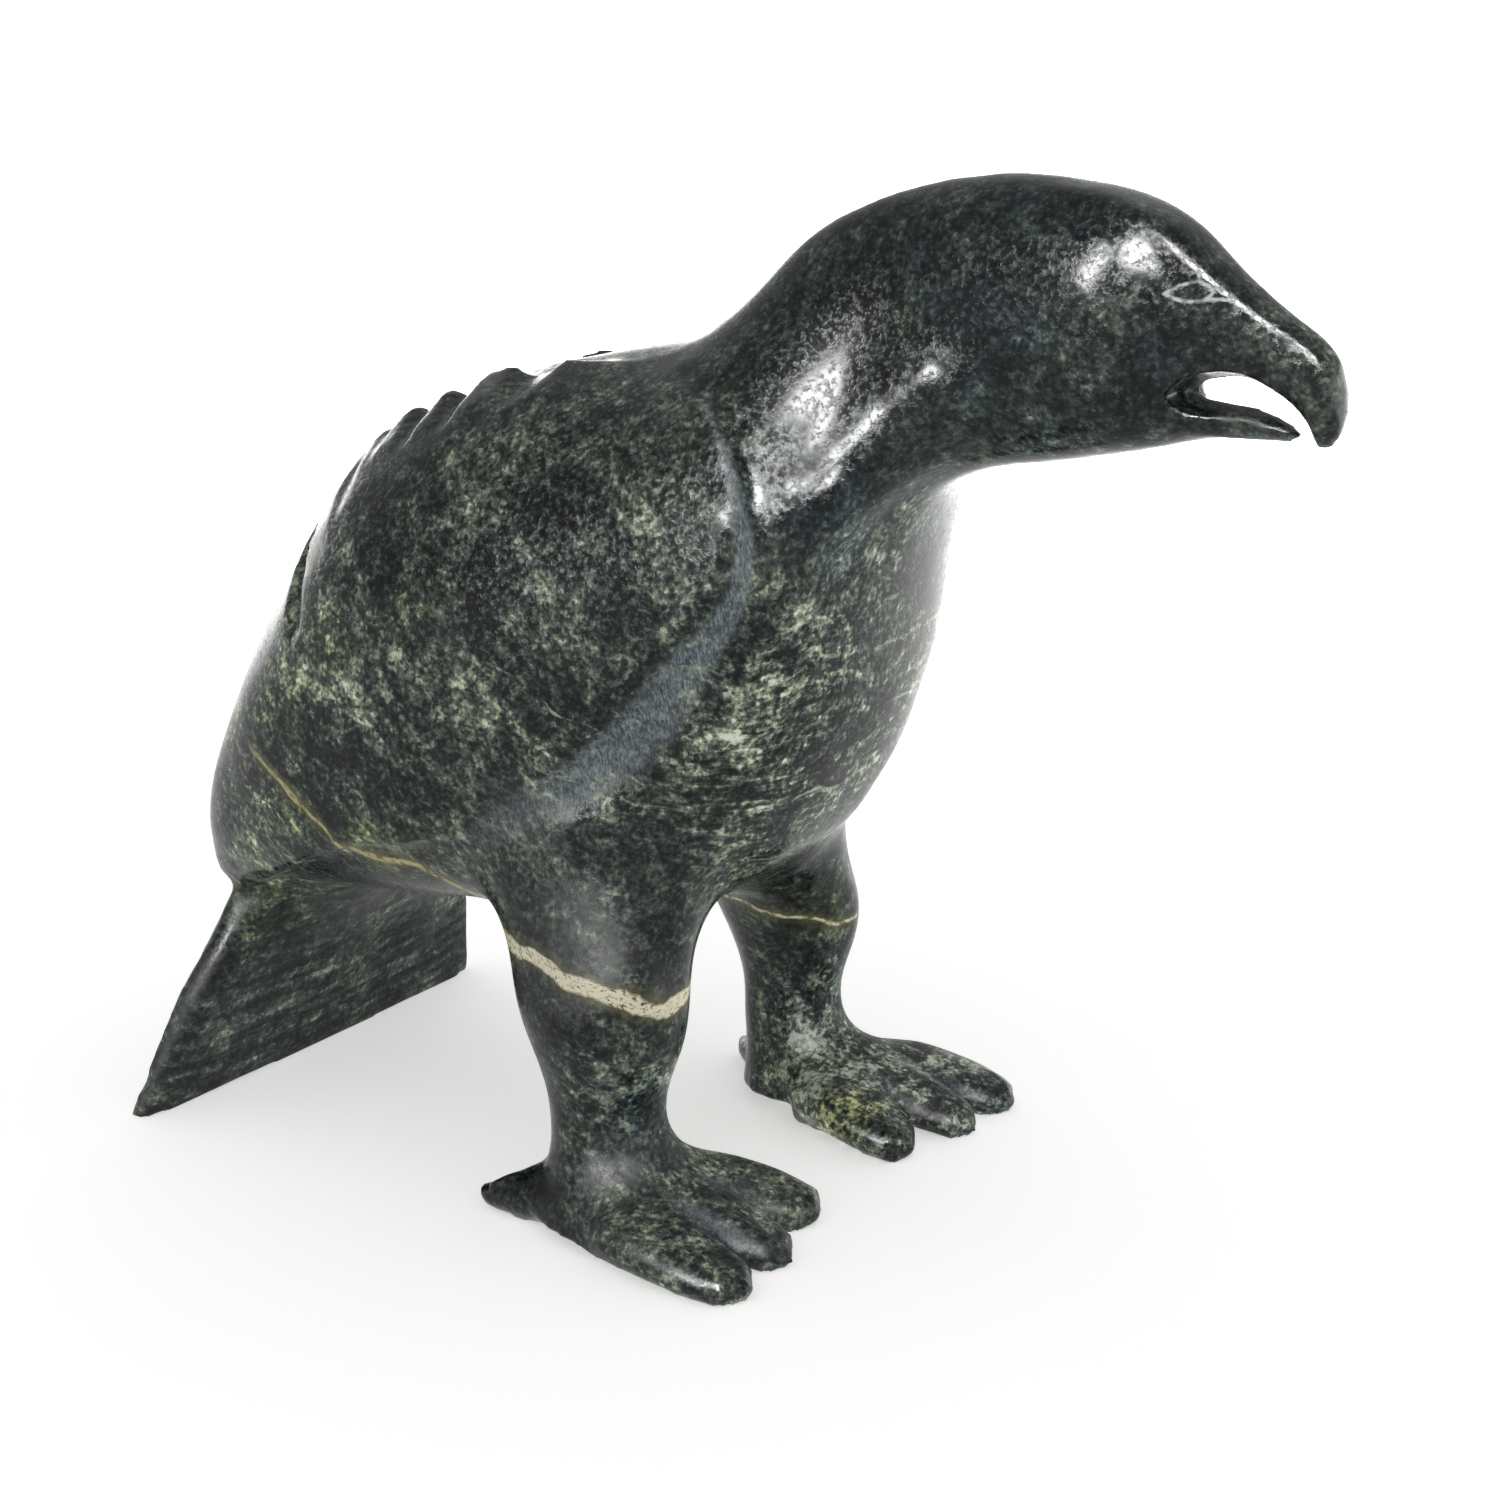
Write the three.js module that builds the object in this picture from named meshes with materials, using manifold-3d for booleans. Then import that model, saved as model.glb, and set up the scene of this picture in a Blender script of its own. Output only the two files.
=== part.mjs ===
// A bird of prey carved from one block of polished serpentine: hunched body with folded wings,
// stretched neck, hooked open beak, two thick legs on three-toed feet, and a fanned tail.
// It stands on both feet and the foot of the tail. Millimetres, +Z up, the beak points to +X.
import * as THREE from "three";
import { mergeVertices } from "three/addons/utils/BufferGeometryUtils.js";
import Module from "manifold-3d";

const wasm = await Module();
wasm.setup();
const X = new THREE.Vector3(1, 0, 0);
const Y = new THREE.Vector3(0, 1, 0);
const Z = new THREE.Vector3(0, 0, 1);
const { degToRad, lerp, smoothstep } = THREE.MathUtils;

// Driving dimensions. While carving, X is measured forward from the foot of the tail.
const LEG_X = 108; // ankle, forward of the tail
const LEG_Y = 35; // ankle, to each side of the middle plane
const WING_RISE = 3.2; // how far the folded wing stands proud of the body
const RIDGE_RISE = 1.5; // how much higher the wing's back edge stands where it is notched
const WING_GAP = 14; // half-width of the valley between the wings on the back
const COVE_RADIUS = 12; // round file that hollowed the body along the wing's edge
const TAIL_FOOT_HALF = 54; // half-width of the tail where it meets the ground
const SOLE_EDGE = 9; // height above the ground that the rubbing down of the feet leaves crisp
const FAR = 300; // longer than the whole block, for cutting tools

// Solids and their joins

// A closed three.js geometry as a solid that can be joined and cut.
function solid(geometry) {
  const bare = new THREE.BufferGeometry();
  bare.setAttribute("position", geometry.getAttribute("position").clone());
  if (geometry.index) bare.setIndex(geometry.index.clone());
  const merged = mergeVertices(bare, 1e-4);
  return new wasm.Manifold(
    new wasm.Mesh({
      numProp: 3,
      vertProperties: merged.getAttribute("position").array,
      triVerts: new Uint32Array(merged.index.array),
    }),
  );
}

function geometryOf(made) {
  const { vertProperties, triVerts } = made.getMesh();
  const geometry = new THREE.BufferGeometry();
  geometry.setAttribute("position", new THREE.BufferAttribute(vertProperties, 3));
  geometry.setIndex(new THREE.BufferAttribute(triVerts, 1));
  return geometry;
}

// A sphere whose rings of latitude become the cross-sections ring(t, angle), t from 0 to 1.
function skin(ring, around, along) {
  const geometry = new THREE.SphereGeometry(1, around, along);
  const { position, uv } = geometry.attributes;
  for (let i = 0; i < position.count; i += 1) {
    const point = ring(1 - uv.getY(i), 2 * Math.PI * (uv.getX(i) % 1));
    position.setXYZ(i, point.x, point.y, point.z);
  }
  return solid(geometry);
}

const power = (value, exponent) => Math.sign(value) * Math.abs(value) ** exponent;

// Rounds off both ends of a skin: 0 at the poles, 1 past the given shares of its length.
function cap(t, first, last) {
  const start = Math.min(t / first, 1);
  const end = Math.min((1 - t) / last, 1);
  return Math.sqrt(start * (2 - start) * end * (2 - end));
}

// A skin of oval sections along a curve. Each station: x, y, z, half-size along each of two axes.
function limb(stations, axes, ends, detail, fullness = 2) {
  const spine = new THREE.CatmullRomCurve3(stations.map(([x, y, z]) => new THREE.Vector3(x, y, z)));
  const sizes = new THREE.CatmullRomCurve3(
    stations.map(([, , , first, second]) => new THREE.Vector3(first, second, 0)),
  );
  const [sideways, upward] = axes;
  const turn = sideways.clone().cross(upward).dot(spine.getTangent(0.5)) > 0 ? -1 : 1;
  const ring = (t, angle) => {
    const { x: first, y: second } = sizes.getPoint(t);
    const size = cap(t, ...ends);
    const across = power(Math.cos(angle), 2 / fullness);
    const rise = turn * power(Math.sin(angle), 2 / fullness);
    return spine
      .getPoint(t)
      .addScaledVector(sideways, first * across * size)
      .addScaledVector(upward, second * rise * size);
  };
  return skin(ring, ...detail);
}

// A prism: an outline in the XZ plane pushed through along Y, from y to y + depth.
function prism(outline, y, depth) {
  const geometry = new THREE.ExtrudeGeometry(outline, { depth, bevelEnabled: false, curveSegments: 6 });
  return solid(geometry.rotateX(Math.PI / 2).translate(0, y + depth, 0));
}

// A round bar along points, each with its own radius, tapering to nothing at both ends.
function bar(points, radii, [around, along]) {
  const spine = new THREE.CatmullRomCurve3(points);
  const radius = new THREE.SplineCurve(radii.map((size, i) => new THREE.Vector2(i, size)));
  const { normals, binormals } = spine.computeFrenetFrames(along);
  const ring = (t, angle) => {
    const size = radius.getPoint(t).y * cap(t, 0.1, 0.1);
    const i = Math.round(t * along);
    return spine
      .getPointAt(t)
      .addScaledVector(normals[i], size * Math.cos(angle))
      .addScaledVector(binormals[i], -size * Math.sin(angle));
  };
  return skin(ring, around, along);
}

// Rubs the joints down: within each zone (x, y, z, radius) the surface relaxes towards its neighbours,
// less and less towards the ground, where the soles stay as they were cut.
function soften(made, zones, rounds) {
  const geometry = geometryOf(made);
  const { position } = geometry.attributes;
  const around = Array.from({ length: position.count }, () => new Set());
  for (let i = 0; i < geometry.index.count; i += 1) {
    const next = i % 3 === 2 ? i - 2 : i + 1;
    around[geometry.index.getX(i)].add(geometry.index.getX(next));
    around[geometry.index.getX(next)].add(geometry.index.getX(i));
  }
  const points = around.map((_, i) => new THREE.Vector3().fromBufferAttribute(position, i));
  const pull = points.map((point) => {
    const near = zones.map(([x, y, z, radius]) => {
      const away = point.distanceTo(new THREE.Vector3(x, y, z));
      return 1 - smoothstep(away, radius / 2, radius);
    });
    return Math.max(...near) * smoothstep(point.z, 0, SOLE_EDGE);
  });
  for (let round = 0; round < rounds; round += 1) {
    const moved = points.map((point, i) => {
      const mean = new THREE.Vector3();
      around[i].forEach((j) => mean.addScaledVector(points[j], 1 / around[i].size));
      return point.clone().lerp(mean, pull[i] / 2);
    });
    moved.forEach((point, i) => points[i].copy(point));
  }
  points.forEach(({ x, y, z }, i) => position.setXYZ(i, x, y, z));
  return solid(geometry);
}

// Body, neck and head: one skin between the back line and the belly line

// Each station: back x, z; belly x, z; half-width; height of the widest place; fullness.
const STATIONS = [
  [-2, 54, -2, 42, 25, 0.45, 2.6],
  [8.5, 84, 18, 47, 36.5, 0.42, 2.4],
  [23, 113.5, 47, 49, 43.5, 0.42, 2.3],
  [41.5, 139.5, 78, 52, 45.5, 0.42, 2.3],
  [65.5, 154, 107, 54.5, 44, 0.45, 2.3],
  [90.5, 161, 131, 68.5, 40, 0.47, 2.2],
  [109, 165, 145, 97, 37.5, 0.38, 2.1],
  [120, 173, 149.8, 124, 33.5, 0.24, 1.85],
  [131.5, 184.5, 156.5, 139, 21, 0.2, 1.8],
  [149, 192.5, 168, 145, 14.8, 0.36, 2],
  [170, 196, 184, 148, 15.5, 0.48, 2.15],
  [190, 194.5, 198, 151, 16, 0.55, 2.3],
  [203, 190, 208, 153.5, 10.5, 0.57, 2.4],
  [213, 182, 216.5, 154.5, 6.6, 0.58, 2.5],
  [222.5, 175.5, 222.5, 154.7, 4.8, 0.58, 2.5],
  [230.3, 170.3, 227, 154.5, 4.3, 0.55, 2.4],
  [234, 161.3, 229.9, 151.9, 3.6, 0.5, 2.3],
];
const lineThrough = (pick) => new THREE.CatmullRomCurve3(STATIONS.map(pick));
const backLine = lineThrough(([x, z]) => new THREE.Vector3(x, 0, z));
const bellyLine = lineThrough(([, , x, z]) => new THREE.Vector3(x, 0, z));
const girthLine = lineThrough(([, , , , half, widest, full]) => new THREE.Vector3(half, widest, full));
const BODY_ENDS = [0.03, 0.045]; // shares of the length taken by the rounded rump and beak
const BELLY_SQUARE = 0.5; // how much squarer the body's underside is than its back
const NECK = [0.3, 0.46]; // shares of the length where the body turns into the neck

// The ring at t, grown outwards by margin(t, angle); angle 0 is the right side, a quarter turn the back.
function bodyRing(margin) {
  return (t, angle) => {
    const grow = margin(t, angle);
    const back = backLine.getPoint(t);
    const belly = bellyLine.getPoint(t);
    const { x: half, y: widest, z: full } = girthLine.getPoint(t);
    const centre = belly.clone().lerp(back, widest);
    const size = cap(t, ...BODY_ENDS);
    const under = angle > Math.PI;
    const upward = (under ? belly : back).clone().sub(centre);
    const square = under ? BELLY_SQUARE * (1 - smoothstep(t, ...NECK)) : 0;
    const exponent = 2 / (full + square);
    const height = (upward.length() + grow) * Math.abs(power(Math.sin(angle), exponent));
    const across = (half + grow) * power(Math.cos(angle), exponent);
    return centre
      .addScaledVector(upward.normalize(), height * size)
      .addScaledVector(Y, -across * size);
  };
}
const BODY_DETAIL = [30, 50];
const bare = () => 0;
const body = skin(bodyRing(bare), ...BODY_DETAIL);

// Wings: the body's skin grown outwards, trimmed to the wing's outline on each side

// The wing stands proud all over, fades into the neck at its top front corner, and lifts into a
// ridge along the rear half of its back edge.
const wingRise = (t, angle) => {
  const height = Math.sin(angle);
  const fade = smoothstep(t, 0.26, 0.37) * smoothstep(height, 0.45, 0.95);
  const lift = smoothstep(t, 0.05, 0.12) * (1 - smoothstep(t, 0.19, 0.25)) * smoothstep(height, 0.8, 0.97);
  return WING_RISE * (1 - fade) + RIDGE_RISE * lift;
};
// The wing's front and lower edge on the skin: share along the body, degrees round from the side.
const WING_EDGE = [
  [0.36, 72],
  [0.428, 35],
  [0.44, 15],
  [0.432, 6],
  [0.416, 0],
  [0.4, -6],
  [0.376, -7],
  [0.348, -7],
  [0.324, -10],
  [0.3, -12],
  [0.268, -13],
  [0.232, -15],
  [0.192, -20],
  [0.157, -18],
  [0.115, -22],
  [0.07, -36],
];
const EDGE_STEPS = 30;
const radians = (degrees) => degToRad((degrees + 360) % 360);
const onSkin = (margin) => ([t, degrees]) => bodyRing(margin)(t, radians(degrees));
const wingEdge = new THREE.CatmullRomCurve3(WING_EDGE.map(onSkin(wingRise)));
const edgePoints = wingEdge.getPoints(EDGE_STEPS);
const WING_BACK = [
  [-60, 45],
  [-60, 220],
  [98, 220],
];
const wingOutline = new THREE.Shape(
  [...edgePoints.map(({ x, z }) => [x, z]), ...WING_BACK].map(([x, z]) => new THREE.Vector2(x, z)),
);
const grown = skin(bodyRing(wingRise), ...BODY_DETAIL);
const rightWing = prism(wingOutline, -FAR - WING_GAP, FAR).intersect(grown);
const leftWing = prism(wingOutline, WING_GAP, FAR).intersect(grown);

// The hollow filed along the wing's edge: a bar that rests beside the edge and sinks into the body.
const COVE_SPAN = [0.16, 0.7]; // part of the wing's edge that is hollowed
const COVE_STEPS = 12;
const COVE_HEIGHT = [0.8, 0.84]; // height of the file's centre over the body at each end, in radii
const COVE_BESIDE = 0.5; // distance of the file's centre from the wing's edge, in radii
function cove(side) {
  const points = [];
  const radii = [];
  for (let i = 0; i <= COVE_STEPS; i += 1) {
    const share = lerp(...COVE_SPAN, i / COVE_STEPS);
    const radius = COVE_RADIUS * (0.45 + 0.55 * Math.sin((Math.PI * i) / COVE_STEPS));
    const height = lerp(...COVE_HEIGHT, (i / COVE_STEPS) ** 2);
    const edge = wingEdge.getPoint(share);
    const outward = new THREE.Vector3(0, -1, 0);
    const along = wingEdge.getTangent(share);
    const beside = outward.clone().cross(along).normalize();
    const centre = edge
      .addScaledVector(beside, radius * COVE_BESIDE)
      .addScaledVector(outward, radius * height - WING_RISE);
    points.push(centre.multiply(new THREE.Vector3(1, -side, 1)));
    radii.push(radius);
  }
  return bar(points, radii, [10, 14]);
}

// Notches filed across the wing's back edge: share along the body, radius of the file, depth,
// and the degrees round between which the file runs.
const NOTCHES = [
  [0.288, 9, 2.6, 88, 50],
  [0.245, 4.5, 2.8, 88, 48],
  [0.222, 4, 2.6, 88, 47],
  [0.199, 4, 1.6, 88, 46],
  [0.184, 4, 1, 70, 36],
  [0.158, 2.6, 3, 60, 20],
];
function notch([t, radius, depth, from, to], side) {
  const lifts = [radius - depth, radius - depth, radius + 1];
  const points = lifts.map((lift, i) => {
    const lifted = (place, angle) => wingRise(place, angle) + lift;
    const degrees = lerp(from, to, i / (lifts.length - 1));
    return onSkin(lifted)([t, degrees]).multiply(new THREE.Vector3(1, -side, 1));
  });
  return bar(points, [radius, radius, radius], [8, 8]);
}

// The tail: a plate that leans back from under the rump and fans out to the ground
const TAIL = [
  [26, 0, 72, 22, 8],
  [15, 0, 50, 30, 6.5],
  [6.5, 0, 25, 45, 5],
  [-1, 0, 0, TAIL_FOOT_HALF, 4],
  [-3, 0, -8, TAIL_FOOT_HALF + 4, 4],
];
const tailLean = new THREE.Vector3(0.965, 0, -0.263);
const tail = limb(TAIL, [Y, tailLean], [0.1, 0.05], [28, 8], 3.5);

// Legs and feet

// Each station of a leg, from the hip down: x, y off the ankle, z, half-length, half-width.
const LEG = [
  [-10, 17, 94, 22, 13],
  [-5, 7, 68, 23, 17],
  [-2, 2, 50, 20, 17],
  [0, 0, 36, 15.5, 13.5],
  [0, 0, 24, 11.5, 10.5],
  [0, 0, 15, 11.5, 11],
  [4, -1, 7, 16, 15.5],
  [6, -2, -2, 20, 19.5],
];
// Each toe: stations of x, y off the ankle, z, half-width, half-height.
const TOES = {
  outer: [
    [2, -5, 5, 11, 9],
    [16, -11, 5, 10.5, 6],
    [31, -14.5, 3.5, 8, 4.5],
    [43.5, -15, 1.5, 5, 3],
  ],
  middle: [
    [4, 0, 5, 10, 9],
    [18, 0, 6, 8, 6],
    [31, 0, 4, 7, 4.5],
    [42.5, 0, 1.5, 4.5, 3],
  ],
  inner: [
    [2, 4, 5, 10, 9],
    [15, 10.5, 5.5, 10, 6],
    [27, 15, 4, 8, 5],
    [37.5, 17.5, 2, 5, 3.5],
  ],
  hind: [
    [2, -1, 6, 13, 8],
    [-11, -5.5, 4, 8, 5.5],
    [-24, -10.5, 3, 2.5, 2.5],
  ],
};
// The left leg is a little slimmer and further back, as the carver left it.
const LEFT_LEG = { side: 1, slim: 0.9, back: 3 };
const RIGHT_LEG = { side: -1, slim: 1, back: 0 };
function legAndFoot({ side, slim, back }) {
  const stand = ([x, y, ...rest]) => [LEG_X + x, side * (LEG_Y - y), ...rest];
  const shank = LEG.map(([x, y, z, long, wide]) => stand([x - back, y, z, slim * long, slim * wide]));
  const toes = Object.values(TOES).map((stations) =>
    limb(stations.map(stand), [Y, Z], [0.1, 0.12], [12, 8], 2.2),
  );
  return toes.reduce(
    (joined, toe) => joined.add(toe),
    limb(shank, [X, Y], [0.05, 0.02], [18, 14]),
  );
}

// Cuts: the open beak and the ground. The mouth is narrowest on the middle plane, where its roof and
// floor are given here, and flares towards each cheek, more on the left.
const MOUTH_ROOF = [
  [206.3, 162],
  [208.3, 163.6],
  [213.5, 164.5],
  [217, 164],
  [221, 162.2],
  [224.6, 159.8],
  [227, 156.4],
  [228.6, 150],
];
const MOUTH_FLOOR = [
  [223.4, 150],
  [224.4, 155.2],
  [226, 156.6],
  [221, 158.7],
  [216.9, 159.9],
  [210, 160.7],
  [206.8, 161.2],
];
const MOUTH_DEPTH = 5.5; // from the middle plane to where the flare ends
const MOUTH_FLARE = { right: 1.6, left: 3.3 }; // how much the opening grows all round
function mouth(side, growth) {
  const place = ([x, z]) => new THREE.Vector2(-side * x, z);
  const outline = new THREE.Shape([place(MOUTH_ROOF[0])]);
  outline.splineThru(MOUTH_ROOF.slice(1).map(place));
  outline.lineTo(...place(MOUTH_FLOOR[0]));
  outline.lineTo(...place(MOUTH_FLOOR[1]));
  outline.lineTo(...place(MOUTH_FLOOR[2]));
  outline.splineThru(MOUTH_FLOOR.slice(3).map(place));
  const flare = { bevelThickness: MOUTH_DEPTH, bevelSize: growth, bevelSegments: 1 };
  const geometry = new THREE.ExtrudeGeometry(outline, { depth: FAR, curveSegments: 3, ...flare });
  geometry.rotateX(Math.PI / 2).translate(0, 0.1 - MOUTH_DEPTH, 0);
  return solid(geometry.rotateZ(side > 0 ? Math.PI : 0));
}

const ground = solid(new THREE.BoxGeometry(2 * FAR, 2 * FAR, FAR).translate(0, 0, -FAR / 2));

// The whole carving, rubbed down where the legs and the tail grow out of the body
const RUBBED = [
  [98, -42, 70, 28],
  [98, 42, 70, 28],
  [118, -30, 62, 22],
  [118, 30, 62, 22],
  [105, 0, 54, 26],
  [14, 0, 48, 34],
  [113, -37, 8, 20],
  [113, 37, 8, 20],
];
const SOFTENING = 20; // rounds of rubbing down
const joined = [rightWing, leftWing, tail, legAndFoot(RIGHT_LEG), legAndFoot(LEFT_LEG)].reduce(
  (made, piece) => made.add(piece),
  body,
);
const notches = [-1, 1].flatMap((side) => NOTCHES.map((each) => notch(each, side)));
const mouths = [mouth(-1, MOUTH_FLARE.right), mouth(1, MOUTH_FLARE.left)];
const cuts = [cove(-1), cove(1), ...notches, ...mouths, ground];
const bird = cuts.reduce((made, tool) => made.subtract(tool), soften(joined, RUBBED, SOFTENING));

const stone = new THREE.MeshStandardMaterial({ color: 0x2c342f, roughness: 0.25, metalness: 0 });
const mesh = new THREE.Mesh(geometryOf(bird), stone);
mesh.name = "bird_carving";
mesh.geometry.computeBoundingBox();
const middle = mesh.geometry.boundingBox.getCenter(new THREE.Vector3());
mesh.position.set(-middle.x, -middle.y, 0);

const carving = new THREE.Group();
carving.add(mesh);
export default carving;
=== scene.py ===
import math

import bmesh
import bpy
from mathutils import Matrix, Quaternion, Vector, noise
from mathutils.bvhtree import BVHTree
from mathutils.kdtree import KDTree


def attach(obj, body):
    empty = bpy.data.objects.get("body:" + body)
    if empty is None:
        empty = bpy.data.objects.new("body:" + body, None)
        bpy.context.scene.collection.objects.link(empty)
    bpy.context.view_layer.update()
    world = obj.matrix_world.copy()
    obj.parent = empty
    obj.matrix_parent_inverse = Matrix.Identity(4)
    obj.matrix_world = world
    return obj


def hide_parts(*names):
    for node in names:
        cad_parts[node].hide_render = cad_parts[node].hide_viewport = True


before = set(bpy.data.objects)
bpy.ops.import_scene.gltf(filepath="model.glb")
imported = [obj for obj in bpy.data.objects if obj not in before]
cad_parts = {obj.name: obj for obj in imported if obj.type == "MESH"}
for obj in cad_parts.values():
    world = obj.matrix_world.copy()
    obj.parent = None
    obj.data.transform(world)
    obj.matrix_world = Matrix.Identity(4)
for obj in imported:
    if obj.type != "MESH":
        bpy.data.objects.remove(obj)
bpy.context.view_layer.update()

# The carving: one block of green-black serpentine, sawn and filed to the shape of a standing
# bird of prey. Its broad faces are rubbed down by hand until the file's flats are gone.
# Arrises such as the wing's edge, the notches and the mouth are only eased.
MM = 0.001
TAIL_FOOT = 113.757  # the foot of the tail lies this far behind the frame's zero
GRAIN = 1.2 * MM  # spacing of the points on the finished skin
ARRIS_ANGLE = math.radians(40)  # sharper bends than this are arrises
RUB_SHARE = 0.5  # how far one round moves a point towards its neighbours
RUBBING = [(6, 0, 0.53), (10, 1.5 * MM, 0.35)]  # rounds, clear of arrises, share kept
BROAD_RUBBING = 50  # rounds on the broad faces, more than BROAD_CLEAR from an arris
BROAD_CLEAR = 5 * MM
JAW_TIP = (226, 0, 156.6)
JAW_ROOM = 4 * MM
JAW_DRAWN = 1.4 * MM  # the tip is held back while the skin is made, which keeps its gap to the hook open
JAW_RETURN = 0.8  # the share of it that is given back afterwards
JAW_SLANT = 0.5  # the gap between the jaw's tip and the hook leans back by this much
JAW_MARGIN = JAW_DRAWN / 3
SOLE = 0.3 * MM  # points this close to the ground belong to the flat soles
SOLE_EDGE = 2.5 * MM
SOLE_RUBBING = (4, 0.5)  # rounds on the sole's edge, share kept
SHOULDER_RIDGE = [
    (163, -13.7, 174),
    (162.3, -14.7, 167.4),
    (162.1, -15.6, 161.5),
    (161.4, -17.2, 155.6),
    (159.8, -19.1, 150.2),
    (157.4, -22, 144.6),
    (154.9, -26, 140.1),
    (152.2, -29.9, 137),
    (149, -32, 132),
]
RIDGE_HEIGHT = 3.2 * MM
RIDGE_REACH = 15 * MM
RIDGE_RISE = (0, 0.35)  # shares of the ridge's length over which it swells and dies away
RIDGE_FALL = (0.75, 1)
CREST = [(188, 0, 195), (203, 0, 190), (213, 0, 182), (222.5, 0, 175.5), (231, 0, 169)]
CREST_FULLNESS = {"right": 0.6, "left": 0.15}  # how much wider the skull is beside the crest
CREST_REACH = 12 * MM
TAIL_NICK = (-1.2, -52.5, 7.8)  # a chip out of the tail's right edge, just above its foot
NICK_DEPTH = 1.7 * MM
NICK_REACH = 4 * MM
NICK_INWARDS = Vector((0.83, 0.55, 0))  # from the tail's rear right corner into the plate
HAND_WAVES = [(0.22 * MM, 1 / 24), (0.08 * MM, 1 / 9)]  # height and closeness of the hand's unevenness
WAVE_CLEAR = 6 * MM  # the waves are at full height this far from an arris, and this far from the ground
WAVE_GROUND = 8 * MM


def spot(x, y, z):
    """A place on the stone, in millimetres forward of the tail's foot, leftwards and upwards."""
    return Vector((x - TAIL_FOOT, y, z)) * MM


def tree_of(points):
    """The points, sorted so that the nearest one to any place is found quickly."""
    tree = KDTree(len(points))
    for number, point in enumerate(points):
        tree.insert(point, number)
    tree.balance()
    return tree


def walk(corners, step):
    """Evenly spaced places along a broken line, each with the share of the line gone by."""
    lengths = [(b - a).length for a, b in zip(corners, corners[1:])]
    whole = sum(lengths)
    gone = 0
    places = []
    for start, end, length in zip(corners, corners[1:], lengths):
        count = max(1, round(length / step))
        for i in range(count):
            places.append((start.lerp(end, i / count), (gone + length * i / count) / whole))
        gone += length
    places.append((corners[-1], 1))
    return places


def fade(value, low, high):
    """0 below low, 1 above high, and an eased rise between."""
    share = min(max((value - low) / (high - low), 0), 1)
    return share * share * (3 - 2 * share)


def rub(points, rounds, kept=0.0):
    """Evens out the given points of the skin; the share kept stops thin forms from shrinking."""
    for _ in range(rounds):
        for factor in (RUB_SHARE, -kept):
            bmesh.ops.smooth_vert(
                skin, verts=points, factor=factor, use_axis_x=True, use_axis_y=True, use_axis_z=True
            )


def slide_jaw(points, amount):
    """Moves the tip of the lower jaw forwards by the amount, while the hook before it stands still."""
    tip = spot(*JAW_TIP)
    for vert in points:
        if vert.co.x + vert.co.z * JAW_SLANT < tip.x + tip.z * JAW_SLANT + JAW_MARGIN:
            vert.co.x += amount * (1 - fade((vert.co - tip).length, 0, JAW_ROOM))


rough = bmesh.new()
rough.from_mesh(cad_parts["bird_carving"].data)
bmesh.ops.remove_doubles(rough, verts=rough.verts, dist=MM / 1000)
slide_jaw(rough.verts, -JAW_DRAWN)
arrises = []
for edge in rough.edges:
    if edge.calc_face_angle(0) > ARRIS_ANGLE:
        arrises += [place for place, _ in walk([vert.co.copy() for vert in edge.verts], GRAIN)]
block_mesh = bpy.data.meshes.new("block")
rough.to_mesh(block_mesh)
rough.free()
block = bpy.data.objects.new("block", block_mesh)
bpy.context.collection.objects.link(block)
skinning = block.modifiers.new("skinning", "REMESH")
skinning.mode = "VOXEL"
skinning.voxel_size = GRAIN
settled = block.evaluated_get(bpy.context.evaluated_depsgraph_get())
skin_mesh = bpy.data.meshes.new_from_object(settled)
bpy.data.objects.remove(block)
bpy.data.meshes.remove(block_mesh)

skin = bmesh.new()
skin.from_mesh(skin_mesh)
bpy.data.meshes.remove(skin_mesh)
arris_tree = tree_of(arrises)
soles = [vert for vert in skin.verts if vert.co.z < SOLE]
clear = {vert: arris_tree.find(vert.co)[2] for vert in skin.verts}
slide_jaw(skin.verts, JAW_DRAWN * JAW_RETURN)
for rounds, distance, kept in RUBBING:
    rub([vert for vert in skin.verts if clear[vert] >= distance], rounds, kept)
broad_faces = [vert for vert in skin.verts if clear[vert] >= BROAD_CLEAR]
rub(broad_faces, BROAD_RUBBING)
rubbed = {vert: vert.co.copy() for vert in broad_faces}
rub(broad_faces, BROAD_RUBBING)
for vert in broad_faces:
    vert.co = 2 * rubbed[vert] - vert.co  # what a second rubbing takes off is what the first one took
skin.normal_update()
ridge_steps = walk([spot(*corner) for corner in SHOULDER_RIDGE], MM)
ridge = tree_of([place for place, _ in ridge_steps])
for vert in skin.verts:
    _, number, away = ridge.find(vert.co)
    gone = ridge_steps[number][1]
    ends = fade(gone, *RIDGE_RISE) * (1 - fade(gone, *RIDGE_FALL))
    vert.co += vert.normal * RIDGE_HEIGHT * ends * (1 - fade(away, 0, RIDGE_REACH))
crest = tree_of([place for place, _ in walk([spot(*corner) for corner in CREST], MM)])
for vert in skin.verts:
    fullness = CREST_FULLNESS["right" if vert.co.y < 0 else "left"]
    vert.co.y *= 1 + fullness * (1 - fade(crest.find(vert.co)[2], 0, CREST_REACH))
skin.normal_update()
for vert in skin.verts:
    ease = fade(clear[vert], 0, WAVE_CLEAR) * fade(vert.co.z, SOLE, WAVE_GROUND)
    waves = sum(height * noise.noise(vert.co / MM * close) for height, close in HAND_WAVES)
    vert.co += vert.normal * waves * ease
for vert in skin.verts:
    chipped = 1 - fade((vert.co - spot(*TAIL_NICK)).length, 0, NICK_REACH)
    vert.co += NICK_INWARDS * NICK_DEPTH * chipped
for vert in soles:
    vert.co.z = 0
rub([vert for vert in skin.verts if vert.co.z < SOLE_EDGE], *SOLE_RUBBING)
for vert in soles:
    vert.co.z = 0

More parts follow.
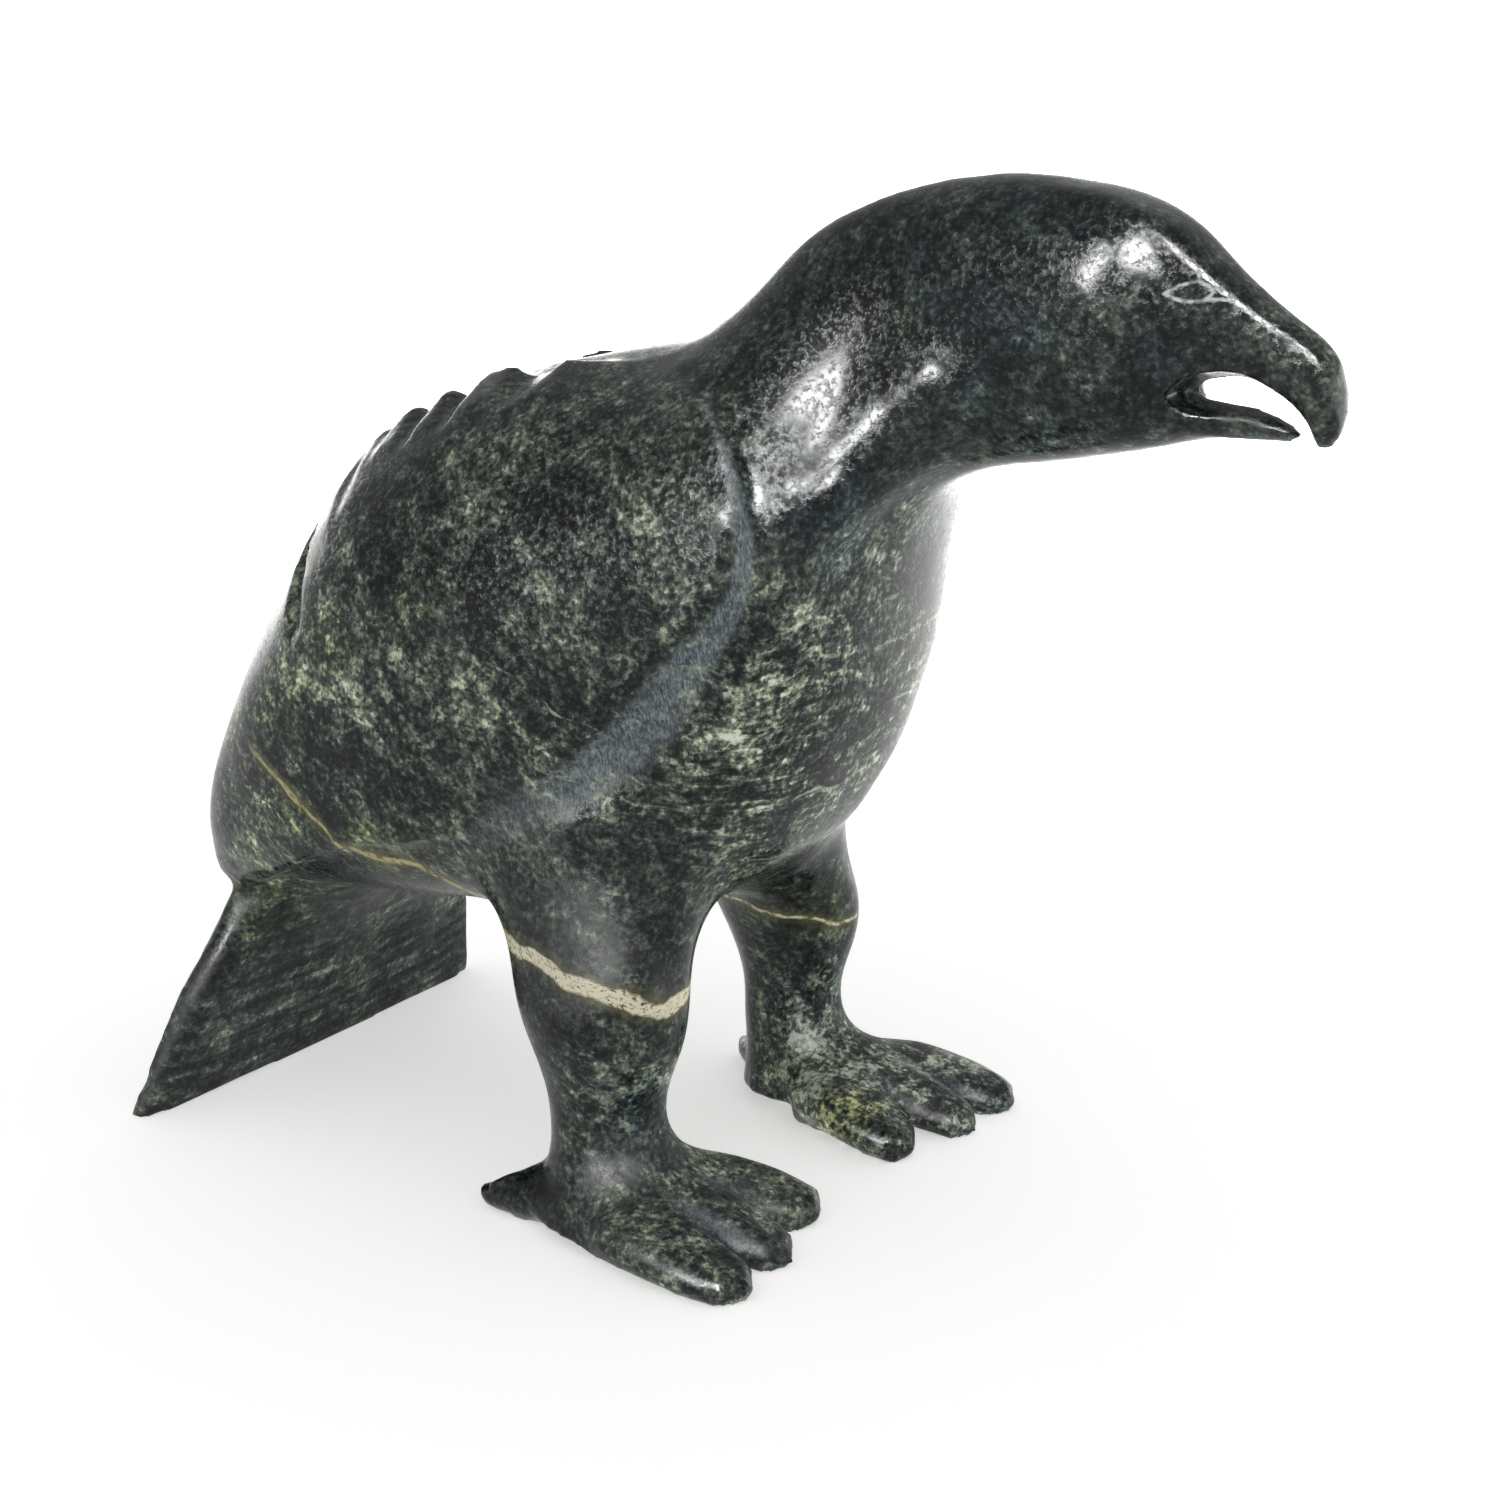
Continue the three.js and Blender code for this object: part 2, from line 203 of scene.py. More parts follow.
# The hollow before each wing, the grooves between the toes and the inside of the mouth: cut with a
# round rasp and hardly polished, so they stay matte, scratched and bluish grey. Each stroke is a row
# of places with the stroke's half-width there, all in millimetres.
RASP_STROKES = {
    "hollow": [
        (126, -28, 157, 0.7),
        (131.5, -32, 152.5, 0.9),
        (135.5, -33.8, 147.5, 1.2),
        (139.4, -36.3, 138.9, 1.7),
        (139.3, -34.9, 132.2, 2.1),
        (138.4, -35.5, 125.5, 2.3),
        (135.2, -36.6, 119.6, 2.8),
        (131.6, -37.4, 114.7, 3.6),
        (126.9, -37.6, 108.3, 4.6),
        (122.2, -37.8, 101.8, 5.4),
        (116.6, -38.3, 96, 5.6),
        (110, -39.2, 90.1, 5.2),
        (102.8, -41, 84.8, 4.6),
        (95.5, -43.7, 80.3, 3.8),
        (86, -43.7, 74.5, 3),
    ],
    "outer_groove": [(128, -41, 11, 2), (135, -42, 9, 2.6), (142, -41, 6.5, 2.6), (147, -42, 4, 2)],
    "inner_groove": [(127, -30, 11, 1.8), (133, -28, 8, 2.2), (139, -26.5, 4.5, 2)],
    "mouth_roof": [
        (206.5, 0, 162.2, 1.8),
        (213.5, 0, 164.5, 2.2),
        (221, 0, 162.2, 2.2),
        (226, 0, 158.3, 1.5),
    ],
    "mouth_floor": [(208, 0, 160.9, 1.8), (217, 0, 159.9, 2), (224, 0, 157.4, 1.5)],
}
RASP_WEAR = {"hollow": 1, "outer_groove": 0.75, "inner_groove": 0.6, "mouth_roof": 1, "mouth_floor": 0.6}
RASP_CORE = 0.45  # shares of the half-width where the marks begin to thin out and where they end
RASP_RIM = 1.3
RASP_REACH = 12 * MM  # farther points are clear of every stroke
RASP_LIFT = 0.72  # from this share of its length on the rasp is lifted
LIFT_LOSS = 0.7
rasped = skin.verts.layers.float.new("rasped")
for name, stroke in RASP_STROKES.items():
    for side in (1, -1):
        corners = [spot(x, side * y, z) for x, y, z, _ in stroke]
        stroke_steps = walk(corners, MM)
        halves = [half for _, _, _, half in stroke]
        rasp_line = tree_of([place for place, _ in stroke_steps])
        bends = [share for _, share in walk(corners, 1)]  # so long a step gives the corners alone
        for vert in skin.verts:
            _, number, away = rasp_line.find(vert.co)
            if away > RASP_REACH:
                continue
            share = stroke_steps[number][1]
            before = max(i for i, bend in enumerate(bends[:-1]) if bend <= share)
            along = (share - bends[before]) / (bends[before + 1] - bends[before])
            half = halves[before] + (halves[before + 1] - halves[before]) * along
            worn = 1 - fade(away, half * RASP_CORE * MM, half * RASP_RIM * MM)
            worn *= RASP_WEAR[name] * (1 - LIFT_LOSS * fade(share, RASP_LIFT, 1))
            vert[rasped] = max(vert[rasped], worn)

# The eye: an almond scratched into the polish with a steel point, white where the stone is bruised,
# with one slip of the point behind it and another above.
EYE = [
    (204.3, -10.5, 178.6),
    (206.4, -9.1, 179.9),
    (208.9, -7.3, 180.5),
    (210.5, -6.7, 179.6),
    (211.2, -6.6, 178.7),
    (210.2, -7.6, 177.6),
    (208.1, -8.8, 177.3),
    (206.1, -9.7, 177.7),
    (204.3, -10.5, 178.6),
]
EYE_SLIPS = [[(210.4, -7.3, 177.8), (213.4, -5.9, 177.5)], [(208.9, -7.3, 180.5), (208.7, -7, 181.6)]]
EYE_ROOM = 7.5 * MM  # the skin this close to the eye is made finer
EYE_CUTS = 3
EYE_RUBBING = 6
POINT_STEP = 0.1 * MM
POINT_HALF = 0.36 * MM
POINT_CORE = 0.3  # share of the half-width that is cut to the full depth
POINT_DEPTH = 0.08 * MM
POINT_WANDER = (0.12 * MM, 2.1)  # how far and how often the line thins and thickens
POINT_FAINT = 0.4  # what is left of the line where the point skipped
POINT_SKIPS = 0.8  # how often it skipped
SKIP_EDGE = (-0.4, 0.1)
scratched = skin.verts.layers.float.new("scratched")
hide = BVHTree.FromBMesh(skin)
for side in (1, -1):
    strokes = [
        [hide.find_nearest(spot(x, side * y, z))[0] for x, y, z in stroke] for stroke in [EYE, *EYE_SLIPS]
    ]
    middle = sum(strokes[0][:-1], Vector()) / (len(EYE) - 1)
    near = [
        edge for edge in skin.edges if all((vert.co - middle).length < EYE_ROOM for vert in edge.verts)
    ]
    bmesh.ops.subdivide_edges(skin, edges=near, cuts=EYE_CUTS, use_grid_fill=True, smooth=0)
    eye_skin = [vert for vert in skin.verts if (vert.co - middle).length < EYE_ROOM]
    rub(eye_skin, EYE_RUBBING)
    skin.normal_update()
    eye_line = tree_of([place for stroke in strokes for place, _ in walk(stroke, POINT_STEP)])
    for vert in eye_skin:
        wander, often = POINT_WANDER
        away = eye_line.find(vert.co)[2] + wander * noise.noise(vert.co / MM * often)
        cut = 1 - fade(away, POINT_HALF * POINT_CORE, POINT_HALF)
        pressed = fade(noise.noise(vert.co / MM * POINT_SKIPS), *SKIP_EDGE)
        cut *= POINT_FAINT + (1 - POINT_FAINT) * pressed
        vert[scratched] = cut
        vert.co -= vert.normal * POINT_DEPTH * cut

# What the block holds: where flecks gather, where it lies in thin layers, where it runs to olive or
# to blue-black, where the tail is drawn with level streaks, and where the polish never reached.
# Each dab is a place, its radius and its strength; those on the right side (y below 0) count for the
# left too.
DABS = {
    "flecked": [
        (100, -45, 118, 52, 0.72),
        (60, -45, 105, 42, 0.8),
        (135, -25, 105, 32, 0.9),
        (132, -38, 6, 30, 0.7),
        (130, 34, 8, 34, 1.7),
        (112, -38, 30, 18, 0.7),
        (30, -38, 80, 30, 0.9),
        (150, -10, 125, 20, 0.6),
        (136, -12, 84, 26, 1.0),
        (140, -28, 148, 16, 0.6),
        (190, -12, 162, 20, 0.3),
        (108, -42, 55, 22, 0.35),
    ],
    "layered": [(140, -18, 96, 34, 1.0), (118, -36, 78, 20, 0.6), (112, -40, 45, 16, 0.4)],
    "olive": [
        (158.2, -14.1, 171.3, 4.5, 0.55),
        (72.2, -45.2, 118, 9, 0.25),
        (52.8, -46.1, 108, 8, 0.3),
        (38.8, -45.8, 94.2, 11, 0.35),
        (17, -30.8, 42.6, 11, 0.4),
        (60, -42, 66, 13, 0.55),
        (40, -46, 72, 10, 0.35),
        (131, 15, 8.5, 9, 0.6),
        (116, 26, 46, 10, 0.45),
        (24, -38, 60, 8, 0.3),
    ],
    "blue": [
        (185, -14, 180, 40, 0.9),
        (150, -20, 140, 20, 0.9),
        (140, -30, 145, 14, 0.7),
        (4, -30, 20, 30, 0.3),
        (115, -35, 25, 16, 0.5),
        (145, -40, 4, 14, 0.5),
        (112, -45, 128, 10, 0.5),
    ],
    "streaked": [(2, -45, 12, 36, 1.0), (3, -10, 14, 38, 1.0), (18, -20, 40, 24, 0.8)],
    "dull": [
        (2, -50, 10, 40, 1.0),
        (2, -10, 10, 40, 1.0),
        (20, -20, 45, 26, 0.8),
        (50, -15, 55, 30, 0.7),
        (128, -36, 6, 32, 0.9),
        (108, -38, 34, 22, 0.55),
        (96, -43, 80, 14, 0.9),
        (106, -43, 56, 22, 0.85),
        (216, -3, 160, 8, 0.8),
    ],
}
DAB_CORE = 0.35  # shares of the radius where a dab begins to thin out and where it ends
DAB_RIM = 1.15
for trait, dabs in DABS.items():
    layer = skin.verts.layers.float.new(trait)
    for vert in skin.verts:
        on_right = Vector((vert.co.x, -abs(vert.co.y), vert.co.z))
        strengths = []
        for x, y, z, radius, strength in dabs:
            away = ((vert.co if y > 0 else on_right) - spot(x, y, z)).length / MM
            strengths.append(strength * (1 - fade(away, DAB_CORE * radius, DAB_RIM * radius)))
        vert[layer] = max(strengths)

bird_mesh = bpy.data.meshes.new("stone_bird")
skin.to_mesh(bird_mesh)
skin.free()
bird_mesh.shade_smooth()
bird = bpy.data.objects.new("stone_bird", bird_mesh)
bpy.context.collection.objects.link(bird)

# The stone itself: serpentine with pale flecks strung along its bedding, a cream vein through the
# thighs and thin white seams across the breast, polished to a soft wax shine.
TONES = [
    (0.0, (0.0010, 0.0013, 0.0014, 1)),
    (0.25, (0.0050, 0.0064, 0.0063, 1)),
    (0.42, (0.019, 0.0245, 0.0215, 1)),
    (0.58, (0.058, 0.073, 0.060, 1)),
    (0.72, (0.160, 0.182, 0.130, 1)),
    (0.87, (0.39, 0.41, 0.30, 1)),
    (1.0, (0.60, 0.64, 0.54, 1)),
]
BLUE_CAST = (0.68, 0.80, 1.06, 1)
OLIVE_CAST = (1.9, 1.9, 0.85, 1)
CREAM = (0.64, 0.60, 0.43, 1)
OCHRE = (0.37, 0.34, 0.17, 1)
CREAM_CRACK = (0.07, 0.065, 0.045, 1)
VEIN_RIM = (0.085, 0.08, 0.032, 1)
SEAM = (0.42, 0.46, 0.36, 1)
RASP_GREY = (0.24, 0.285, 0.31, 1)
RASP_DARK = (0.035, 0.045, 0.050, 1)
BRUISE = (0.52, 0.56, 0.56, 1)

stone = bpy.data.materials.new("polished_serpentine")
stone.use_nodes = True
nodes = stone.node_tree.nodes
links = stone.node_tree.links
nodes.clear()


def put(kind, inputs, **settings):
    """A node with its settings, each input either a value or another node's output."""
    made = nodes.new(kind)
    for name, value in settings.items():
        setattr(made, name, value)
    for name, value in inputs.items():
        if isinstance(value, bpy.types.NodeSocket):
            links.new(value, made.inputs[name])
        else:
            made.inputs[name].default_value = value
    return made


def reckon(operation, *values):
    """The result of one sum."""
    return put("ShaderNodeMath", dict(enumerate(values)), operation=operation).outputs[0]


def cloud(where, scale, detail=3.0, roughness=0.55, distortion=0.0):
    """Soft random shading, about 1 / scale millimetres across."""
    inputs = {
        "Vector": where,
        "Scale": scale,
        "Detail": detail,
        "Roughness": roughness,
        "Distortion": distortion,
    }
    return put("ShaderNodeTexNoise", inputs).outputs["Fac"]


def ramp(value, low, high, bottom=0.0, top=1.0):
    """An eased step: bottom below low, top above high."""
    inputs = {"Value": value, "From Min": low, "From Max": high, "To Min": bottom, "To Max": top}
    return put("ShaderNodeMapRange", inputs, interpolation_type="SMOOTHSTEP").outputs[0]


def lay(mask, under, over, blend="MIX"):
    """One colour laid over another where the mask is strong."""
    made = put("ShaderNodeMix", {}, data_type="RGBA", blend_type=blend)
    for socket, value in ((made.inputs[0], mask), (made.inputs[6], under), (made.inputs[7], over)):
        if isinstance(value, bpy.types.NodeSocket):
            links.new(value, socket)
        else:
            socket.default_value = value
    return made.outputs[2]


def painted(name):
    """How much of a trait the stone has here, as painted on the mesh."""
    return put("ShaderNodeAttribute", {}, attribute_name=name).outputs["Fac"]


# Places in millimetres; the bedding lies flat under the breast and climbs towards the tail.
BEND_X = 110 - TAIL_FOOT
BEND_SLOPE = 0.5
BEND_EASE = 30
BED_SQUEEZE = 1.15
BED_SWAY = 16.0  # the bedding rises and falls by this much in all
object_place = put("ShaderNodeTexCoord", {}).outputs["Object"]
place = put("ShaderNodeMapping", {"Vector": object_place, "Scale": (1 / MM, 1 / MM, 1 / MM)}).outputs[0]
split = put("ShaderNodeSeparateXYZ", {"Vector": place})
ahead, left, up = split.outputs[0], split.outputs[1], split.outputs[2]
behind = reckon("SMOOTH_MAX", reckon("SUBTRACT", BEND_X, ahead), 0.0, BEND_EASE)
sway = reckon("MULTIPLY_ADD", cloud(place, 0.035, 2.0), BED_SWAY, -BED_SWAY / 2)
bed = reckon("ADD", reckon("MULTIPLY_ADD", behind, -BEND_SLOPE, up), sway)
bedded = put(
    "ShaderNodeCombineXYZ", {"X": ahead, "Y": left, "Z": reckon("MULTIPLY", bed, BED_SQUEEZE)}
).outputs[0]
flecked, olive, blue, dull = painted("flecked"), painted("olive"), painted("blue"), painted("dull")
rasp, bruise, layered = painted("rasped"), painted("scratched"), painted("layered")
streaked = painted("streaked")

# Grain: fine flecks in clumps in broad clouds, thin layers on breast and flank, level streaks on the tail
FINE, CRYSTAL, CLUMP, BROAD, LAYER, STREAK = 7.0, 1.9, 8.5, 6.0, 7.0, 9.0
LAYER_STRETCH = (0.10, 0.10, 0.75)
STREAK_STRETCH = (0.5, 0.045, 0.5)
PLAIN_SPREAD = 0.62  # contrast of the grain where no flecks gather, against 1 where they do
PLAIN_DARKER = 0.45
TONE_RANGE = 6
fine = cloud(place, 0.85, 4.0, 0.7)
clumps = cloud(bedded, 0.24, 3.0, 0.62, 0.25)
broad_clouds = cloud(place, 0.05, 2.0)
crystal_cells = put("ShaderNodeTexVoronoi", {"Vector": place, "Scale": 1.15, "Randomness": 1.0})
crystals = put("ShaderNodeSeparateColor", {"Color": crystal_cells.outputs["Color"]}).outputs[0]
layers = put("ShaderNodeMapping", {"Vector": bedded, "Scale": LAYER_STRETCH}).outputs[0]
leaf = reckon("MULTIPLY", layered, reckon("SUBTRACT", cloud(layers, 1.0, 3.0, 0.6), 0.5))
tone = reckon("MULTIPLY_ADD", broad_clouds, BROAD, -(FINE + CRYSTAL + CLUMP + BROAD) / 2)
tone = reckon("MULTIPLY_ADD", clumps, CLUMP, tone)
tone = reckon("MULTIPLY_ADD", fine, FINE, tone)
tone = reckon("MULTIPLY_ADD", crystals, CRYSTAL, tone)
tone = reckon("MULTIPLY_ADD", leaf, LAYER, tone)
streak_place = put("ShaderNodeMapping", {"Vector": place, "Scale": STREAK_STRETCH}).outputs[0]
streak = reckon("MULTIPLY", streaked, reckon("SUBTRACT", cloud(streak_place, 1.0, 4.0, 0.65), 0.5))
tone = reckon("MULTIPLY_ADD", streak, STREAK, tone)
spread = reckon("MULTIPLY_ADD", flecked, 1 - PLAIN_SPREAD, PLAIN_SPREAD)
darker = reckon("MULTIPLY_ADD", flecked, PLAIN_DARKER, -PLAIN_DARKER)
tone = reckon("MULTIPLY_ADD", tone, spread, darker)
tones = put("ShaderNodeValToRGB", {"Fac": reckon("MULTIPLY_ADD", tone, 1 / TONE_RANGE, 0.5)})
shades = tones.color_ramp.elements
while len(shades) < len(TONES):
    shades.new(0.5)
for shade, (position, tint) in zip(shades, TONES):
    shade.position = position
    shade.color = tint
colour = tones.outputs["Color"]
blueness = reckon("MULTIPLY", ramp(cloud(place, 0.06, 3.0, 0.6), 0.38, 0.62, 0.15, 1.0), blue)
colour = lay(blueness, colour, BLUE_CAST, "MULTIPLY")
olive_mask = reckon("MULTIPLY", olive, ramp(cloud(bedded, 0.3, 4.0, 0.65), 0.36, 0.6, 0.2, 1.0))
colour = lay(olive_mask, colour, OLIVE_CAST, "MULTIPLY")

# White seams along the bedding, hair thin and broken off here and there
SEAM_GAP = 13.5
SEAM_HALF = 0.17
SEAM_SHOW = 0.7
SEAM_RAISED = 3.6
SEAM_WOBBLE = 2.2
seam_turn = reckon("FRACT", reckon("DIVIDE", reckon("ADD", bed, SEAM_RAISED), SEAM_GAP))
seam_away = reckon("MULTIPLY", reckon("ABSOLUTE", reckon("SUBTRACT", seam_turn, 0.5)), SEAM_GAP)
wobble = reckon("MULTIPLY_ADD", cloud(place, 0.5, 3.0), SEAM_WOBBLE, -SEAM_WOBBLE / 2)
seam_off = reckon("ABSOLUTE", reckon("ADD", seam_away, wobble))
seam_line = ramp(seam_off, 0.0, SEAM_HALF * 2, SEAM_SHOW, 0.0)
seam_front = reckon("MULTIPLY", ramp(ahead, -40, -10), ramp(ahead, 30, 50, 1.0, 0.25))
seam_low = reckon("MULTIPLY", ramp(up, 60, 80), ramp(up, 105, 120, 1.0, 0.0))
seam_broken = ramp(cloud(bedded, 0.07, 3.0, 0.6), 0.5, 0.6)
seam_mask = reckon("MULTIPLY", reckon("MULTIPLY", seam_front, seam_low), seam_broken)
colour = lay(reckon("MULTIPLY", seam_line, seam_mask), colour, SEAM)

# The cream vein: a thin sheet that drops from the rear of the wing and runs level through the thighs
VEIN_LINE = [
    (20, 89),
    (30, 83),
    (41.6, 76),
    (48.8, 71),
    (55, 65.8),
    (68.6, 64.6),
    (74, 61.5),
    (92.6, 54.2),
    (102, 53.6),
    (109, 51.5),
    (117, 50),
    (124, 47.2),
    (135, 45),
]
VEIN_TILT = 0.1  # the sheet falls by this much towards the left
VEIN_NEAR = -47
VEIN_SPAN = 240  # the lengths and heights that the vein's curve covers
VEIN_TOP = 100
VEIN_WANDER = 4.0
VEIN_THIN = 0.65  # half its thickness on the wing, and how much more it has on the thigh
VEIN_THICKER = 0.7
vein_curve = put(
    "ShaderNodeFloatCurve", {"Value": reckon("DIVIDE", reckon("ADD", ahead, TAIL_FOOT), VEIN_SPAN)}
)
vein_points = vein_curve.mapping.curves[0].points
while len(vein_points) < len(VEIN_LINE):
    vein_points.new(0.5, 0.5)
for point, (x, z) in zip(vein_points, VEIN_LINE):
    point.location = (x / VEIN_SPAN, z / VEIN_TOP)
vein_curve.mapping.update()
vein_fall = reckon("MULTIPLY", reckon("ADD", left, -VEIN_NEAR), VEIN_TILT)
vein_height = reckon("SUBTRACT", reckon("MULTIPLY", vein_curve.outputs[0], VEIN_TOP), vein_fall)
vein_wander = reckon("MULTIPLY_ADD", cloud(place, 0.1, 3.0, 0.5), VEIN_WANDER, -VEIN_WANDER / 2)
vein_away = reckon("ABSOLUTE", reckon("ADD", reckon("SUBTRACT", up, vein_height), vein_wander))
on_thigh = ramp(ahead, -36, -18)
near_side = ramp(left, -10, 5, 1.0, 0.25)
vein_swell = ramp(cloud(place, 0.13, 3.0), 0.3, 0.7, 0.65, 1.3)
vein_thick = reckon("MULTIPLY_ADD", on_thigh, VEIN_THICKER, VEIN_THIN)
vein_half = reckon("MULTIPLY", vein_thick, reckon("MULTIPLY", vein_swell, near_side))
vein_edge = reckon("SUBTRACT", vein_away, vein_half)
vein_start = ramp(ahead, -88, -78)
rim_show = reckon("MULTIPLY", vein_start, ramp(clumps, 0.35, 0.6, 0.35, 0.85))
colour = lay(reckon("MULTIPLY", ramp(vein_edge, 0.0, 2.2, 1.0, 0.0), rim_show), colour, VEIN_RIM)
crack_lines = put("ShaderNodeMapping", {"Vector": bedded, "Scale": (0.35, 0.35, 1.0)}).outputs[0]
vein_cracks = ramp(cloud(crack_lines, 2.6, 4.0, 0.7), 0.52, 0.62)
vein_colour = lay(vein_cracks, lay(on_thigh, OCHRE, CREAM), CREAM_CRACK)
vein_broken = ramp(cloud(place, 0.3, 4.0, 0.65), 0.36, 0.5)
vein_whole = reckon("MAXIMUM", vein_broken, reckon("MULTIPLY", on_thigh, near_side))
vein_show = reckon("MULTIPLY", vein_whole, vein_start)
vein_mask = reckon("MULTIPLY", ramp(vein_edge, -0.3, 0.3, 1.0, 0.0), vein_show)
colour = lay(vein_mask, colour, vein_colour)

# Rasped stone and the bruised line of the eye
RASP_TURN = (0, 0.7, 0)
RASP_STRETCH = (2.6, 1.2, 0.7)
rasp_place = put("ShaderNodeMapping", {"Vector": place, "Rotation": RASP_TURN, "Scale": RASP_STRETCH})
rasp_lines = cloud(rasp_place.outputs[0], 1.0, 4.0, 0.75)
rasp_tone = lay(ramp(rasp_lines, 0.36, 0.66), RASP_DARK, RASP_GREY)
rasp_mask = reckon("MULTIPLY", rasp, ramp(cloud(place, 0.6, 4.0, 0.7), 0.34, 0.62, 0.2, 0.88))
colour = lay(rasp_mask, colour, rasp_tone)
colour = lay(bruise, colour, BRUISE)

# Polish: dull in the hollow, on the tail, thighs and feet, and pitted where flecks have plucked out
PIT = -0.05
BRUISE_ROUGH = 0.7
RASP_RELIEF = 0.22
DULL_RELIEF = 0.6  # dull stone shows this share of the rasp's marks
polished_rough = ramp(fine, 0.38, 0.68, 0.15, 0.30)
matte_rough = reckon("MULTIPLY", reckon("MAXIMUM", rasp, dull), ramp(fine, 0.36, 0.64, 0.5, 0.8))
rough_here = reckon("MAXIMUM", polished_rough, matte_rough)
rough_here = reckon("MAXIMUM", rough_here, reckon("MULTIPLY", bruise, BRUISE_ROUGH))
rasp_marks = reckon("MULTIPLY", rasp_lines, reckon("MAXIMUM", rasp, reckon("MULTIPLY", dull, DULL_RELIEF)))
relief = reckon("MULTIPLY_ADD", ramp(fine, 0.5, 0.7), PIT, reckon("MULTIPLY", rasp_marks, RASP_RELIEF))
bump = put("ShaderNodeBump", {"Height": relief, "Strength": 0.6, "Distance": MM})
shader = put(
    "ShaderNodeBsdfPrincipled",
    {
        "Base Color": colour,
        "Roughness": rough_here,
        "IOR": 1.56,
        "Specular IOR Level": 0.15,
        "Normal": bump.outputs[0],
    },
)
put("ShaderNodeOutputMaterial", {"Surface": shader.outputs[0]})
bird_mesh.materials.append(stone)
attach(bird, "root")
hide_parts("bird_carving")

# The table: a broad sheet of white card that the carving stands on, turned up around its rim.
# It glows a little, and more strongly beyond the bird, so that the ground shows white.
FLOOR_RADIUS = 6
FLOOR_RIM = (1.5, 1.2)  # how far the card's edge runs outwards and upwards
FLOOR_WHITE = (0.9, 0.9, 0.89, 1)
FLOOR_GLOW = 0.52  # the card is lit through from below, as on a light table
BACK_GLOW = 3.0  # beyond the bird the card is lit much more strongly
BACK_START = (0.16, 0.5)  # from where to where the stronger light sets in
CARD_SIDES = 64
floor_shape = bmesh.new()
bmesh.ops.create_circle(floor_shape, cap_ends=True, segments=CARD_SIDES, radius=FLOOR_RADIUS)
rim = [edge for edge in floor_shape.edges if edge.is_boundary]
raised = bmesh.ops.extrude_edge_only(floor_shape, edges=rim)["geom"]
for vert in raised:
    if isinstance(vert, bmesh.types.BMVert):
        vert.co *= (FLOOR_RADIUS + FLOOR_RIM[0]) / FLOOR_RADIUS
        vert.co.z = FLOOR_RIM[1]
bmesh.ops.recalc_face_normals(floor_shape, faces=floor_shape.faces)
floor_mesh = bpy.data.meshes.new("white_card")
floor_shape.to_mesh(floor_mesh)
floor_shape.free()
floor = bpy.data.objects.new("white_card", floor_mesh)
bpy.context.collection.objects.link(floor)
card = bpy.data.materials.new("white_card")
card.use_nodes = True
card_shader = card.node_tree.nodes["Principled BSDF"]
card_shader.inputs["Base Color"].default_value = FLOOR_WHITE
card_shader.inputs["Roughness"].default_value = 0.9
card_shader.inputs["Specular IOR Level"].default_value = 0
card_shader.inputs["Emission Color"].default_value = FLOOR_WHITE
card_nodes, card_links = card.node_tree.nodes, card.node_tree.links
card_place = card_nodes.new("ShaderNodeTexCoord")
card_split = card_nodes.new("ShaderNodeSeparateXYZ")
card_glow = card_nodes.new("ShaderNodeMapRange")
card_links.new(card_place.outputs["Object"], card_split.inputs[0])
card_links.new(card_split.outputs["Y"], card_glow.inputs["Value"])
card_glow.inputs["From Min"].default_value, card_glow.inputs["From Max"].default_value = BACK_START
card_glow.inputs["To Min"].default_value = FLOOR_GLOW
card_glow.inputs["To Max"].default_value = BACK_GLOW
card_links.new(card_glow.outputs[0], card_shader.inputs["Emission Strength"])
floor_mesh.materials.append(card)

